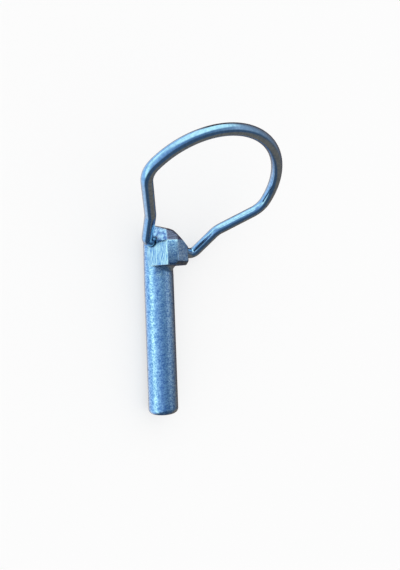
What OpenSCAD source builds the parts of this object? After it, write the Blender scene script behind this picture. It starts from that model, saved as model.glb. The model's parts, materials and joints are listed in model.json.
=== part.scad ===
// Locking pin for a shaft or tube: a forged pin with an off-centre head,
// and a hoop of spring wire that swings in a cross hole through the head.
// The pin lies on its back with the long leg of the hoop on the floor.

/* [Shaft] */
// Diameter of the shaft, a loose fit in a 10 mm hole
shaft_d = 9.6; // [9:0.1:12]
// Length of the shaft under the head, with its rounded end
shaft_len = 47.5; // [40:0.5:80]
// Radius that breaks the edge of the shaft's end
end_round = 1.6; // [0.6:0.1:3]
// Length of the flare from the shaft out to the nose of the head
neck_len = 2.8; // [1.5:0.1:4]
// Reach of that flare beyond the shaft, under the head
neck_out = 1.4; // [0.8:0.1:1.8]
// Half width of that flare, under the head
neck_w = 4.2; // [3.6:0.1:4.4]

/* [Head] */
// Width across the two pressed flats, a little less than the shaft
head_w = 9.5; // [8.4:0.1:9.5]
// Reach of the nose from the shaft's axis
nose_reach = 10.7; // [9:0.1:14]
// Size of the upright bevels at the nose's two corners
nose_corner = 2.2; // [1:0.1:3]
// Height of the head's upright sides
side_h = 7.6; // [7:0.1:10]
// Height of the head's top above the shaft's axis
head_h = 13.1; // [12:0.1:14]
// Slope of the top, down towards the nose
top_slope = 15.5; // [8:0.5:18]
// Slope of the top bevels over the flats, from upright
flat_bevel = 34; // [15:1:36]
// Slope of the top bevel over the nose, from upright
nose_bevel = 32; // [20:1:45]
// Slope of the top bevel over the nose's near corner, from upright
near_bevel = 44; // [30:1:50]
// Slope of the top bevel over the nose's far corner, from upright
far_bevel = 40; // [30:1:50]
// Draft of the head's round back, inwards to the top
back_draft = 0.6; // [0.3:0.1:1]
// How much lower the bevel starts on the nose's far corner
far_drop = 2.0; // [0:0.1:4]
// Height of the bevel along the nose's lower edge
lip_h = 1.1; // [0.4:0.1:2]

/* [Cross hole] */
// Height of the hole's middle above the underside of the head
hole_h = 7.0; // [6:0.1:7.5]
// Offset of the hole from the shaft's axis, towards the nose
hole_offset = 1.7; // [0:0.1:3]
// Slant of the hole: the end under the short leg is the higher one
hole_slant = 9.8; // [0:0.2:11]
// Clearance round the wire in the hole, on the radius
hole_clear = 0.06; // [0.03:0.01:0.1]
// Width of the bevel round the hole's two mouths
mouth_bevel = 0.35; // [0.2:0.05:0.6]

/* [Hoop] */
// Diameter of the spring wire
wire_d = 3.5; // [3:0.1:3.8]
// Radius of the hoop's round end, to the middle of the wire
hoop_r = 25.2; // [20:0.1:30]
// Distance from the hole to the centre of the round end
hoop_reach = 21.0; // [18:0.1:26]
// Radius of the bends at the hoop's shoulders
shoulder_r = 6.5; // [4:0.1:8]
// Slope of the straights from the shoulders in to the knees
taper = 38.8; // [30:0.2:42]
// Distance of each knee from the hoop's middle line
knee_half = 14.5; // [12:0.1:16]
// Distance of the knees from the hole
knee_reach = 10.5; // [9:0.1:11]
// Radius of the knee bends
knee_r = 5.8; // [3:0.1:7]
// Radius of the bends where the legs turn towards the hole
foot_r = 2.2; // [2:0.1:2.3]
// Distance of the short leg from the shaft's axis
short_leg = 6.7; // [6.7:0.1:8]
// Distance of the long leg from the shaft's axis
long_leg = 15.6; // [14:0.1:18]
// Shift of the hoop's middle line towards the long leg
hoop_shift = 2.9; // [2:0.1:4]
// Lean of the hoop in its own plane
hoop_lean = 7.3; // [4:0.1:8]
// Swing of the hoop at rest, from straight above the head
swing = 52.0; // [40:0.5:75]
// Gap left between the wire's two ends inside the hole
end_gap = 2.0; // [1:0.5:4]
// How much the wire thins where it is bent, on the diameter
bend_thin = 0.02; // [0.02:0.01:0.06]

/* [Hidden] */
$fn = 48;
shaft_r = shaft_d / 2;
wire_r = wire_d / 2;
hole_r = wire_r + hole_clear;
flat_x = head_w / 2;
// The trimmed back of the head lies this far inside the shaft's surface
back_trim = 0.03;
back_r = shaft_r - back_trim;
// Reach of the corner bevels along the diagonal
corner_dist = (flat_x - nose_corner + nose_reach) / sqrt(2);
// Room that a cutting block needs to clear the whole head
clear = 40;
// Radius that gives the flare its length and reach, starting along the shaft
neck_r = (neck_len * neck_len + neck_out * neck_out) / (2 * neck_out);
// Overlap that joins solids, and depth that the flare bites into the shaft
bite = 0.5;
flare_bite = 0.03;
// Length that each bend runs on into the wire beyond it
run_on = 0.1;
bend_d = wire_d - bend_thin;
lip_slope = 30;

// Places along the wire, in the hoop's plane: x runs along the hole towards
// the long leg, y away from the hole
slope_dir = [sin(taper), cos(taper)];
slope_in = [-cos(taper), sin(taper)];
// The shoulder's circle touches the sloping straight and the round end from inside
shoulder_start = [knee_half, knee_reach - hoop_reach] + slope_in * shoulder_r;
shoulder_run = run_to_circle(shoulder_start, slope_dir, hoop_r - shoulder_r);
shoulder_rel = shoulder_start + slope_dir * shoulder_run;
shoulder_at = shoulder_rel + [0, hoop_reach];
shoulder_turn = atan2(shoulder_rel.y, shoulder_rel.x);
shoulder_foot = shoulder_at - slope_in * shoulder_r;

// Middle of the hole, and the hole's and the hoop's directions in the pin's own axes
hole_at = [0, hole_offset, hole_h];
hole_dir = [-cos(hole_slant), 0, -sin(hole_slant)];
hoop_dir = [-sin(hole_slant) * cos(swing), sin(swing), cos(hole_slant) * cos(swing)];

// The pin's roll as it lies: the long leg's bend just reaches the floor
foot_bend = bend_centre(long_knee(), [long_leg, 0], [end_gap / 2, 0], foot_r);
roll = settle(0, 80);

function unit(a) = a / norm(a);

// Distance along a line from a point to a circle about the origin
function run_to_circle(start, dir, r) =
    -start * dir + sqrt(pow(start * dir, 2) - start * start + r * r);

// From the hoop's own middle line to the plane's axes; side is 1 or -1
function in_plane(point, side) =
    [hoop_shift + side * point.x * cos(hoop_lean) - point.y * sin(hoop_lean),
     side * point.x * sin(hoop_lean) + point.y * cos(hoop_lean)];
function long_knee() = in_plane([knee_half, knee_reach], 1);
function short_knee() = in_plane([knee_half, knee_reach], -1);

// Centre of the bend of radius r at the corner b of a path a, b, c
function bend_centre(a, b, c, r) =
    let (back = unit(a - b), on = unit(c - b))
    b + unit(back + on) * r / sin(acos(back * on) / 2);
// Length of straight that the bend at b takes from each side
function bend_take(a, b, c, r) =
    r / tan(acos(unit(a - b) * unit(c - b)) / 2);

// Upwards from the floor, in the pin's own axes, when it is rolled by turn
function up(turn) = [sin(turn), cos(turn), 0];
// How far the long leg's bend reaches below the shaft's axis at a given roll
function leg_depth(turn) =
    -(hole_at + hole_dir * foot_bend.x + hoop_dir * foot_bend.y) * up(turn)
    + foot_r * norm([hole_dir * up(turn), hoop_dir * up(turn)]) + wire_r;
// Halves the interval until the bend is level with the shaft's lowest line
function settle(low, high) =
    let (mid = (low + high) / 2)
    high - low < 0.0001 ? mid
    : leg_depth(mid) > shaft_r ? settle(low, mid) : settle(mid, high);

// Lays the pin down: its axis along Y, its nose up, rolled onto the long leg,
// with the origin where the shaft's plain length starts
module laid() {
    translate([0, neck_len, 0])
        rotate([0, roll, 0])
            rotate([90, 0, 180])
                children();
}

// Block that cuts the head back to a face: it faces the direction turn,
// stands dist from the axis at height z, and slopes in towards the top
module face_cut(turn, dist, z, slope, below) {
    rotate([0, 0, turn])
        translate([dist, 0, z])
            rotate([0, -slope, 0])
                translate([0, -clear / 2, -below])
                    cube([clear, clear, clear + below]);
}

// Plain length of the shaft, with the broken edge at its end
module shaft() {
    rotate_extrude()
        union() {
            translate([0, -shaft_len])
                square([shaft_r - end_round, shaft_len - neck_len]);
            translate([0, end_round - shaft_len])
                square([shaft_r, shaft_len - end_round - neck_len]);
            translate([shaft_r - end_round, end_round - shaft_len])
                circle(end_round);
        }
}

// Round back of the head, narrowing to the top, on the end of the shaft's plain length
module back() {
    rise = neck_len + clear / 2;
    translate([0, 0, -neck_len])
        cylinder(r1 = back_r, r2 = back_r - rise * tan(back_draft), h = rise);
}

// Concave flare under the nose, turned about an axis nearer to the nose
module neck() {
    translate([0, shaft_r - flare_bite + neck_out - neck_w, 0])
        rotate_extrude()
            difference() {
                translate([0, -neck_len])
                    square([neck_w, neck_len + bite]);
                translate([neck_w - neck_out + neck_r, -neck_len])
                    circle(neck_r);
            }
}

// Everything that is struck or trimmed off the head's blank
module head_faces() {
    for (turn = [0, 180])
        face_cut(turn, flat_x, 0, 0, 0);
    for (turn = [0, 180])
        face_cut(turn, flat_x, side_h, flat_bevel, side_h);
    for (turn = [45, 135])
        face_cut(turn, corner_dist, 0, 0, 0);
    face_cut(45, corner_dist, side_h, near_bevel, side_h);
    face_cut(135, corner_dist, side_h - far_drop, far_bevel, side_h - far_drop);
    face_cut(90, nose_reach, side_h, nose_bevel, side_h);
    face_cut(270, back_r, side_h, flat_bevel, side_h);
    for (turn = [90, 135])
        rotate([0, 0, turn])
            translate([turn == 90 ? nose_reach : corner_dist, 0, lip_h])
                rotate([0, lip_slope, 0])
                    translate([0, -clear / 2, -2 * lip_h])
                        cube([clear, clear, 2 * lip_h]);
    translate([0, 0, head_h])
        rotate([-top_slope, 0, 0])
            translate([-clear / 2, -clear / 2, 0])
                cube([clear, clear, 2 * clear]);
}

module head_blank() {
    translate([-flat_x, 0, 0])
        cube([head_w, nose_reach, head_h + bite]);
}

// Runs along the hole, x towards the long leg and y up
module in_hole() {
    translate(hole_at)
        rotate([0, -hole_slant, 0])
            rotate([90, 0, 180])
                children();
}

// The cross hole, with a bevel at each mouth
module cross_hole() {
    in_hole() {
        rotate([0, 90, 0])
            cylinder(r = hole_r, h = clear, center = true);
        for (side = [-90, 90])
            rotate([0, side, 0])
                translate([0, 0, flat_x / cos(hole_slant) - mouth_bevel])
                    cylinder(r1 = hole_r, r2 = hole_r + 3 * mouth_bevel, h = 3 * mouth_bevel);
    }
}

module pin() {
    color("lightsteelblue")
        laid()
            union() {
                difference() {
                    union() {
                        shaft();
                        back();
                        head_blank();
                    }
                    head_faces();
                    cross_hole();
                }
                neck();
            }
}

// Straight wire between two points of the hoop's plane
module straight(a, b) {
    translate([a.x, a.y, 0])
        rotate([0, 0, atan2(b.y - a.y, b.x - a.x)])
            rotate([0, 90, 0])
                cylinder(d = wire_d, h = norm(b - a));
}

// Wire of diameter d bent round a centre, from one direction on by a sweep
module bend(centre, r, d, from, sweep) {
    translate([centre.x, centre.y, 0])
        rotate([0, 0, from])
            rotate_extrude(angle = sweep)
                translate([r, 0])
                    circle(d = d);
}

// A bend of the thinned wire, running on a little way at both ends
module tight_bend(centre, r, from, sweep) {
    more = run_on / r * 180 / PI;
    bend(centre, r, bend_d, from - more, sweep + 2 * more);
}

// The bend at the corner b of a path a, b, c
module corner(a, b, c, r) {
    centre = bend_centre(a, b, c, r);
    take = bend_take(a, b, c, r);
    first = b + unit(a - b) * take - centre;
    last = b + unit(c - b) * take - centre;
    side = sign(first.x * last.y - first.y * last.x);
    from = side > 0 ? first : last;
    tight_bend(centre, r, atan2(from.y, from.x), acos(first * last / (r * r)));
}

// One leg: in from the shoulder, round the knee, down, and into the hole
module leg(shoulder, knee, foot, tip) {
    knee_take = bend_take(shoulder, knee, foot, knee_r);
    foot_take = bend_take(knee, foot, tip, foot_r);
    straight(shoulder, knee + unit(shoulder - knee) * knee_take);
    corner(shoulder, knee, foot, knee_r);
    straight(knee + unit(foot - knee) * knee_take, foot + unit(knee - foot) * foot_take);
    corner(knee, foot, tip, foot_r);
    straight(foot + unit(tip - foot) * foot_take, tip);
}

// The round end with its two shoulders, about the hoop's own middle line
module round_end() {
    translate([hoop_shift, 0, 0])
        rotate([0, 0, hoop_lean]) {
            bend([0, hoop_reach], hoop_r, wire_d, shoulder_turn, 180 - 2 * shoulder_turn);
            tight_bend(shoulder_at, shoulder_r, -taper, taper + shoulder_turn);
            mirror([1, 0, 0])
                tight_bend(shoulder_at, shoulder_r, -taper, taper + shoulder_turn);
        }
}

module hoop() {
    color("slategray")
        laid()
            in_hole()
                rotate([swing, 0, 0])
                    union() {
                        round_end();
                        leg(in_plane(shoulder_foot, 1), long_knee(),
                            [long_leg, 0], [end_gap / 2, 0]);
                        leg(in_plane(shoulder_foot, -1), short_knee(),
                            [-short_leg, 0], [-end_gap / 2, 0]);
                    }
}

pin();
hoop();
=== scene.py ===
import bpy
import json
import math
from mathutils import Matrix, Vector


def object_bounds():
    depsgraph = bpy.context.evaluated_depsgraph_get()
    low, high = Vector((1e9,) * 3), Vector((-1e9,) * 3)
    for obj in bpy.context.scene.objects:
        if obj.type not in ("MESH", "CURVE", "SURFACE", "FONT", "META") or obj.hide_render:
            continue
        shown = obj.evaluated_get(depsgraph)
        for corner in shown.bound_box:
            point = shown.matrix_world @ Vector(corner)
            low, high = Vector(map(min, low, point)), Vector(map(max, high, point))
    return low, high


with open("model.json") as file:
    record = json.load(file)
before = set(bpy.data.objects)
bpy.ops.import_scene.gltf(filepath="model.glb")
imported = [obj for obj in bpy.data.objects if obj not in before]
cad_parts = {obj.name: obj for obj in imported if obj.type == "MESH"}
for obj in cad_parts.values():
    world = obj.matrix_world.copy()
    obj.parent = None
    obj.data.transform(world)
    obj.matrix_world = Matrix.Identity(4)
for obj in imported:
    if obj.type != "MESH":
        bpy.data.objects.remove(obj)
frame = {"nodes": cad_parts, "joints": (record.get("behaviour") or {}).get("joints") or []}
cad_low, cad_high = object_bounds()


# ---- View -------------------------------------------------------------------
# A camera at close range looks down on the lying pin from its low side, with
# the shaft upright in the view.

view_from = Vector((-0.075349, -0.005610, 0.146606))
view_right = Vector((0.848815, -0.036462, 0.527431))
view_up = Vector((0.025519, 0.999282, 0.028013))
lens_mm = 45.513
sensor_mm = 36.0
lens_shift = 0.00125


def camera_over_the_pin():
    data = bpy.data.cameras.new("view")
    data.sensor_fit = "HORIZONTAL"
    data.sensor_width = sensor_mm
    data.lens = lens_mm
    data.shift_x = -lens_shift
    data.shift_y = lens_shift
    data.clip_start = 0.01
    data.clip_end = 10.0
    camera = bpy.data.objects.new("view", data)
    axes = Matrix((view_right, view_up, view_right.cross(view_up))).transposed()
    camera.matrix_world = Matrix.Translation(view_from) @ axes.to_4x4()
    bpy.context.collection.objects.link(camera)
    bpy.context.scene.camera = camera


camera_over_the_pin()


# ---- Table ------------------------------------------------------------------
# A plain white table top that the pin lies on, with a soft shadow round it. It is
# left out of the metal's mirror image, which shows the room's own lower half.

table_white = (0.94, 0.94, 0.94, 1)
# Share of its own white that the table shows to the camera, and its half width
table_lift = 0.6
table_reach = 1.5


def feed(tree, socket, value):
    """Links another node's output to the socket, or writes a plain value there."""
    if isinstance(value, bpy.types.NodeSocket):
        tree.links.new(value, socket)
    else:
        socket.default_value = value


def maths(tree, operation, *values):
    node = tree.nodes.new("ShaderNodeMath")
    node.operation = operation
    for socket, value in zip(node.inputs, values):
        feed(tree, socket, value)
    return node.outputs["Value"]


def table_finish():
    material = bpy.data.materials.new("table_white")
    material.use_nodes = True
    tree = material.node_tree
    tree.nodes.clear()
    white = tree.nodes.new("ShaderNodeBsdfDiffuse")
    feed(tree, white.inputs["Color"], table_white)
    bright = tree.nodes.new("ShaderNodeEmission")
    rays = tree.nodes.new("ShaderNodeLightPath")
    seen = tree.nodes.new("ShaderNodeMixShader")
    feed(tree, seen.inputs["Fac"],
         maths(tree, "MULTIPLY", rays.outputs["Is Camera Ray"], table_lift))
    feed(tree, seen.inputs[1], white.outputs["BSDF"])
    feed(tree, seen.inputs[2], bright.outputs["Emission"])
    out = tree.nodes.new("ShaderNodeOutputMaterial")
    feed(tree, out.inputs["Surface"], seen.outputs["Shader"])
    return material


def table_top():
    mesh = bpy.data.meshes.new("table_top")
    corners = [(-1, -1), (1, -1), (1, 1), (-1, 1)]
    mesh.from_pydata([(x * table_reach, y * table_reach, cad_low.z) for x, y in corners],
                     [], [(0, 1, 2, 3)])
    mesh.materials.append(table_finish())
    top = bpy.data.objects.new("table_top", mesh)
    top.visible_glossy = False
    bpy.context.collection.objects.link(top)


table_top()


# ---- Room -------------------------------------------------------------------
# Even white light for the table. The metal mirrors a room with one window on the
# left and one up behind the head, a dim ceiling, brown shade and a dark far end.

# Round the shaft from straight down: up past the left window, over the ceiling,
# and down on the right
wall_tones = [
    (0.0, (0.40, 0.33, 0.30)), (0.04, (0.60, 0.53, 0.50)), (0.12, (0.46, 0.56, 0.64)),
    (0.19, (0.34, 0.48, 0.58)), (0.225, (0.82, 0.93, 0.75)), (0.265, (0.86, 0.96, 0.76)),
    (0.305, (0.47, 0.60, 0.63)), (0.36, (0.29, 0.38, 0.47)), (0.43, (0.15, 0.22, 0.31)),
    (0.51, (0.10, 0.16, 0.22)), (0.56, (0.17, 0.22, 0.26)), (0.60, (0.37, 0.39, 0.40)),
    (0.66, (0.23, 0.24, 0.25)), (0.72, (0.20, 0.17, 0.16)), (0.80, (0.07, 0.05, 0.045)),
    (0.92, (0.08, 0.06, 0.055)), (1.0, (0.40, 0.33, 0.30)),
]
# Each patch: the way to its middle, where it starts and is full, and its tone
dark_end = ((0.30, -0.95, 0.20), 0.38, 0.72, (0.05, 0.07, 0.09))
brown_shade = ((0.72, -0.66, -0.20), 0.76, 0.95, (0.175, 0.115, 0.075))
high_window = ((-0.20, 0.76, 0.62), 0.63, 0.92, (0.88, 0.98, 0.80))
mirrored_strength = 2.0
plain_strength = 1.0


def lined_up(tree, way, direction):
    """1 where a way points along the direction, 0 square to it, -1 against it."""
    node = tree.nodes.new("ShaderNodeVectorMath")
    node.operation = "DOT_PRODUCT"
    feed(tree, node.inputs[0], way)
    feed(tree, node.inputs[1], direction)
    return node.outputs["Value"]


def spread(tree, value, start, end, low=0.0, high=1.0, smooth=False):
    """Goes from low to high while the value goes from start to end."""
    node = tree.nodes.new("ShaderNodeMapRange")
    if smooth:
        node.interpolation_type = "SMOOTHSTEP"
    feed(tree, node.inputs["Value"], value)
    for name, number in (("From Min", start), ("From Max", end),
                         ("To Min", low), ("To Max", high)):
        feed(tree, node.inputs[name], number)
    return node.outputs["Result"]


def coated(tree, share, under, over):
    """Lays one colour over another by a share from 0 to 1."""
    node = tree.nodes.new("ShaderNodeMix")
    node.data_type = "RGBA"
    feed(tree, node.inputs["Factor"], share)
    for name, colour in (("A", under), ("B", over)):
        feed(tree, node.inputs[name], (*colour, 1) if isinstance(colour, tuple) else colour)
    return node.outputs["Result"]


def room():
    world = bpy.data.worlds.new("room")
    world.use_nodes = True
    tree = world.node_tree
    tree.nodes.clear()
    look = tree.nodes.new("ShaderNodeTexCoord").outputs["Generated"]
    split = tree.nodes.new("ShaderNodeSeparateXYZ")
    feed(tree, split.inputs["Vector"], look)
    lean = maths(tree, "ARCTAN2", split.outputs["X"], split.outputs["Z"])
    walls = tree.nodes.new("ShaderNodeValToRGB")
    feed(tree, walls.inputs["Fac"], spread(tree, lean, -math.pi, math.pi))
    ramp = walls.color_ramp
    ramp.elements.remove(ramp.elements[1])
    for place_on_ramp, tone in wall_tones:
        stop = ramp.elements[0] if place_on_ramp == 0 else ramp.elements.new(place_on_ramp)
        stop.color = (*tone, 1)
    tone = walls.outputs["Color"]
    for middle, start, full, patch_tone in (dark_end, brown_shade, high_window):
        share = spread(tree, lined_up(tree, look, middle), start, full, smooth=True)
        tone = coated(tree, share, tone, patch_tone)

    mirrored = tree.nodes.new("ShaderNodeBackground")
    feed(tree, mirrored.inputs["Strength"], mirrored_strength)
    feed(tree, mirrored.inputs["Color"], tone)
    plain = tree.nodes.new("ShaderNodeBackground")
    feed(tree, plain.inputs["Color"], (1, 1, 1, 1))
    feed(tree, plain.inputs["Strength"], plain_strength)
    rays = tree.nodes.new("ShaderNodeLightPath")
    either = tree.nodes.new("ShaderNodeMixShader")
    feed(tree, either.inputs["Fac"], rays.outputs["Is Glossy Ray"])
    feed(tree, either.inputs[1], plain.outputs["Background"])
    feed(tree, either.inputs[2], mirrored.outputs["Background"])
    out = tree.nodes.new("ShaderNodeOutputWorld")
    feed(tree, out.inputs["Surface"], either.outputs["Shader"])
    bpy.context.scene.world = world


room()


# ---- Pin --------------------------------------------------------------------
# Forged steel, its flats and bevels trimmed, then zinc plated: pale blue metal,
# mottled and finely pitted, with short scratches along the flats.

# Places along the shaft's axis: just under the head, and on the head's sides
head_from = 0.0027
# Where the painted shade on the nose's near corner starts, is full and fades out
shade_top, shade_foot = 0.0100, 0.0032
shade_gone, shade_back = -0.0015, 0.0030
# Widths of the pale edge, of the soft turn of light over it, and of a crevice's painted shade
edge_wear_and_glint_width = 0.0004
soft_width = 0.0011
crevice_reach = 0.0030
# Fineness of each pattern, as its repeats in a metre, and depths of the relief
grain_scale, cloud_scale, pit_scale = 1900.0, 800.0, 900.0
scratch_scale, blow_scale, dent_scale = 2700.0, 900.0, 460.0
grain_depth, dent_depth = 0.00010, 0.00016

dull_zinc, bright_zinc = (0.11, 0.25, 0.53), (0.40, 0.62, 0.86)
scratch_dark, scratch_pale = (0.15, 0.32, 0.60), (0.60, 0.80, 0.83)
# Dull grey of the crown: painted shade
crown_shade_grey = (0.165, 0.18, 0.33)
struck_dark, struck_pale = (0.055, 0.155, 0.42), (0.46, 0.77, 0.94)
# Blue of the painted shade on the nose's near corner
corner_shade_blue = (0.05, 0.08, 0.16)
# Pale edge colour: partly wear, partly a painted highlight along the edges
edge_wear_and_glint = (0.62, 0.80, 0.92)
# Painted shade for crevices, laid on where ambient occlusion finds little open space
crevice_shade_dark = (0.03, 0.05, 0.08)
# Dark colour of the head's underside and lower edge: painted shade
underside_shade_dark = (0.05, 0.085, 0.17)

# Ways that the head's faces look: along the cross hole, towards the nose, up and
# towards the nose, over the near flat, and at the nose's near corner
hole = frame["joints"][0]["axis"]
flat_faces = Vector((hole[0], 0.0, hole[2])).normalized()
across_top = Vector((-flat_faces.z, 0.0, flat_faces.x))
crown_faces = (across_top + Vector((0.0, 1.0, 0.0))).normalized()
near_bevel = (Vector((0.0, 0.56, 0.0)) - 0.83 * flat_faces).normalized()
near_corner = (across_top - flat_faces).normalized()


def speckle(tree, place, scale, detail, roughness=0.5):
    node = tree.nodes.new("ShaderNodeTexNoise")
    feed(tree, node.inputs["Vector"], place)
    feed(tree, node.inputs["Scale"], scale)
    feed(tree, node.inputs["Detail"], detail)
    feed(tree, node.inputs["Roughness"], roughness)
    return node.outputs["Fac"]


def drawn_out(tree, place, along_shaft):
    """The same place with its pattern drawn out along the shaft."""
    node = tree.nodes.new("ShaderNodeMapping")
    feed(tree, node.inputs["Vector"], place)
    feed(tree, node.inputs["Scale"], (1.0, along_shaft, 1.0))
    return node.outputs["Vector"]


def zinc_plating():
    """The plating's colour, how open the place is, its mottle and its height."""
    group = bpy.data.node_groups.new("zinc_plating", "ShaderNodeTree")
    for name, way, kind in (
            ("Place", "INPUT", "NodeSocketVector"), ("Grain", "INPUT", "NodeSocketFloat"),
            ("Dull", "INPUT", "NodeSocketColor"), ("Bright", "INPUT", "NodeSocketColor"),
            ("Colour", "OUTPUT", "NodeSocketColor"), ("Open", "OUTPUT", "NodeSocketFloat"),
            ("Mottle", "OUTPUT", "NodeSocketFloat"), ("Height", "OUTPUT", "NodeSocketFloat")):
        group.interface.new_socket(name, in_out=way, socket_type=kind)
    given = group.nodes.new("NodeGroupInput").outputs
    result = group.nodes.new("NodeGroupOutput").inputs

    grain = speckle(group, given["Place"], given["Grain"], detail=3.0, roughness=0.6)
    clouds = speckle(group, given["Place"], cloud_scale, detail=3.0, roughness=0.6)
    pits = group.nodes.new("ShaderNodeTexVoronoi")
    feed(group, pits.inputs["Scale"], pit_scale)
    feed(group, pits.inputs["Vector"], given["Place"])
    past_pit = spread(group, pits.outputs["Distance"], 0.10, 0.20)
    blotches = spread(group, maths(group, "MULTIPLY_ADD", clouds, 0.5, grain), 0.61, 0.89)
    pitted = maths(group, "MULTIPLY_ADD", past_pit, 0.5, 0.5)
    mottle = maths(group, "MULTIPLY", blotches, pitted)
    # Ambient occlusion, which drives the painted shade in crevices
    around = group.nodes.new("ShaderNodeAmbientOcclusion")
    around.samples = 8
    feed(group, around.inputs["Distance"], crevice_reach)

    feed(group, result["Colour"], coated(group, mottle, given["Dull"], given["Bright"]))
    feed(group, result["Open"], spread(group, around.outputs["AO"], 0.30, 0.88))
    feed(group, result["Mottle"], mottle)
    feed(group, result["Height"], maths(group, "MULTIPLY_ADD", past_pit, 0.3, grain))
    return group


plating = zinc_plating()


def plated(name, grain, dull, bright):
    """A new material with the plating in it, and the nodes to go on from."""
    material = bpy.data.materials.new(name)
    material.use_nodes = True
    tree = material.node_tree
    tree.nodes.clear()
    place = tree.nodes.new("ShaderNodeTexCoord").outputs
    zinc = tree.nodes.new("ShaderNodeGroup")
    zinc.node_tree = plating
    feed(tree, zinc.inputs["Place"], place["Object"])
    feed(tree, zinc.inputs["Grain"], grain)
    feed(tree, zinc.inputs["Dull"], (*dull, 1))
    feed(tree, zinc.inputs["Bright"], (*bright, 1))
    return material, tree, place, zinc.outputs


def raised(tree, height, strength, depth, normal=None):
    bump = tree.nodes.new("ShaderNodeBump")
    feed(tree, bump.inputs["Height"], height)
    feed(tree, bump.inputs["Strength"], strength)
    feed(tree, bump.inputs["Distance"], depth)
    if normal:
        feed(tree, bump.inputs["Normal"], normal)
    return bump.outputs["Normal"]


def rounded_over(tree, width):
    bevel = tree.nodes.new("ShaderNodeBevel")
    bevel.samples = 8
    feed(tree, bevel.inputs["Radius"], width)
    return bevel.outputs["Normal"]


def as_metal(tree, colour, metallic, roughness, normal):
    metal = tree.nodes.new("ShaderNodeBsdfPrincipled")
    feed(tree, metal.inputs["Base Color"], colour)
    feed(tree, metal.inputs["Metallic"], metallic)
    feed(tree, metal.inputs["Roughness"], roughness)
    feed(tree, metal.inputs["Normal"], normal)
    out = tree.nodes.new("ShaderNodeOutputMaterial")
    feed(tree, out.inputs["Surface"], metal.outputs["BSDF"])


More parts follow.
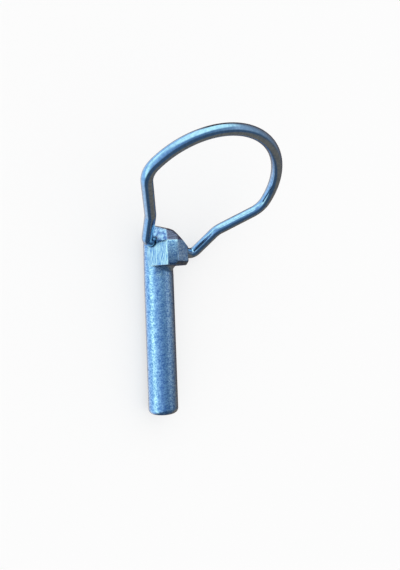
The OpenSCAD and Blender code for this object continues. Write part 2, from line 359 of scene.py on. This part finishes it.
def zinc_on_steel():
    material, tree, place, zinc = plated("zinc_on_steel", grain_scale, dull_zinc, bright_zinc)
    place_parts = tree.nodes.new("ShaderNodeSeparateXYZ")
    feed(tree, place_parts.inputs["Vector"], place["Object"])
    up_shaft = place_parts.outputs["Y"]
    on_head = maths(tree, "GREATER_THAN", up_shaft, head_from)

    # The two flats are told from the rest by the way they face, along the cross hole
    either_flat = maths(tree, "ABSOLUTE", lined_up(tree, place["Normal"], flat_faces))
    flats = maths(tree, "MULTIPLY", spread(tree, either_flat, 0.985, 0.998), on_head)
    along_flats = drawn_out(tree, place["Object"], along_shaft=0.18)
    scratches = speckle(tree, along_flats, scratch_scale, detail=2.0)
    brushed = coated(tree, spread(tree, scratches, 0.38, 0.60), scratch_dark, scratch_pale)
    colour = coated(tree, maths(tree, "MULTIPLY", flats, 0.75), zinc["Colour"], brushed)

    # The crown of the head is painted a dull grey as painted shade, darker than the room it
    # mirrors
    up_crown = lined_up(tree, place["Normal"], crown_faces)
    colour = coated(tree, spread(tree, up_crown, 0.78, 0.82, high=0.85), colour, crown_shade_grey)

    # The bevel over the near flat was struck unevenly and shines in patches
    up_bevel = lined_up(tree, place["Normal"], near_bevel)
    blows = spread(tree, speckle(tree, place["Object"], blow_scale, detail=3.0), 0.40, 0.62)
    patches = coated(tree, blows, struck_dark, struck_pale)
    colour = coated(tree, spread(tree, up_bevel, 0.95, 0.985, high=0.8), colour, patches)

    # The near corner of the nose is painted darker towards its lower edge, as painted shade
    on_corner = spread(tree, lined_up(tree, place["Normal"], near_corner), 0.95, 0.985)
    depth = maths(tree, "MULTIPLY", spread(tree, up_shaft, shade_top, shade_foot, high=0.85),
                  spread(tree, up_shaft, shade_gone, shade_back))
    colour = coated(tree, maths(tree, "MULTIPLY", on_corner, depth), colour, corner_shade_blue)

    # Edges are painted pale, partly wear and partly painted highlight, and crevices get painted
    # shade
    surface = tree.nodes.new("ShaderNodeNewGeometry")
    turned = lined_up(tree, rounded_over(tree, edge_wear_and_glint_width), surface.outputs["Normal"])
    colour = coated(tree, spread(tree, turned, 0.995, 0.94, high=0.5), colour, edge_wear_and_glint)
    colour = coated(tree, zinc["Open"], crevice_shade_dark, colour)

    # The underside of the head and its lower edge are painted dark as painted shade, the underside
    # also less metallic and rougher
    normal_parts = tree.nodes.new("ShaderNodeSeparateXYZ")
    feed(tree, normal_parts.inputs["Vector"], place["Normal"])
    towards_head = normal_parts.outputs["Y"]
    underside = maths(tree, "MULTIPLY", spread(tree, towards_head, -0.88, -0.96), on_head)
    low_edge = maths(tree, "MULTIPLY", spread(tree, towards_head, -0.30, -0.50, high=0.7), on_head)
    colour = coated(tree, maths(tree, "MAXIMUM", underside, low_edge), colour, underside_shade_dark)

    metallic = spread(tree, underside, 0.0, 1.0, low=1.0, high=0.5)
    polish = spread(tree, zinc["Mottle"], 0.0, 1.0, low=0.27, high=0.15)
    roughness = maths(tree, "MULTIPLY_ADD", underside, 0.5, polish)
    along_blows = drawn_out(tree, place["Object"], along_shaft=0.45)
    dents = speckle(tree, along_blows, dent_scale, detail=2.0)
    uneven = raised(tree, dents, 0.5, dent_depth, rounded_over(tree, soft_width))
    height = tree.nodes.new("ShaderNodeMix")
    feed(tree, height.inputs["Factor"], flats)
    feed(tree, height.inputs["A"], zinc["Height"])
    feed(tree, height.inputs["B"], scratches)
    fine = raised(tree, height.outputs["Result"], 0.5, grain_depth, uneven)
    as_metal(tree, colour, metallic, roughness, fine)
    return material


def finish_pin():
    pin = frame["nodes"]["pin"]
    pin.data.materials[0] = zinc_on_steel()


finish_pin()


# ---- Hoop -------------------------------------------------------------------
# Drawn spring wire, bent to shape and zinc plated: smoother than the forged steel,
# with a softer mottle. Its two ends run in the pin's cross hole.

dull_wire, bright_wire = (0.22, 0.38, 0.61), (0.31, 0.50, 0.75)
wire_grain_scale = 1300.0
wire_grain_depth = 0.00003


def zinc_on_wire():
    material, tree, place, zinc = plated("zinc_on_wire", wire_grain_scale, dull_wire, bright_wire)
    # Crevices in the wire are painted darker as painted shade, from the ambient occlusion
    crevice_shade = spread(tree, zinc["Open"], 0.0, 1.0, low=0.5)
    colour = coated(tree, crevice_shade, crevice_shade_dark, zinc["Colour"])
    polish = spread(tree, zinc["Mottle"], 0.0, 1.0, low=0.17, high=0.11)
    relief = raised(tree, zinc["Height"], 0.3, wire_grain_depth)
    as_metal(tree, colour, 1.0, polish, relief)
    return material


def finish_hoop():
    frame["nodes"]["hoop"].data.materials[0] = zinc_on_wire()


finish_hoop()


# ---- Finish -----------------------------------------------------------------
# Plain colour, with the standard view transform.

bpy.context.scene.view_settings.view_transform = "Standard"
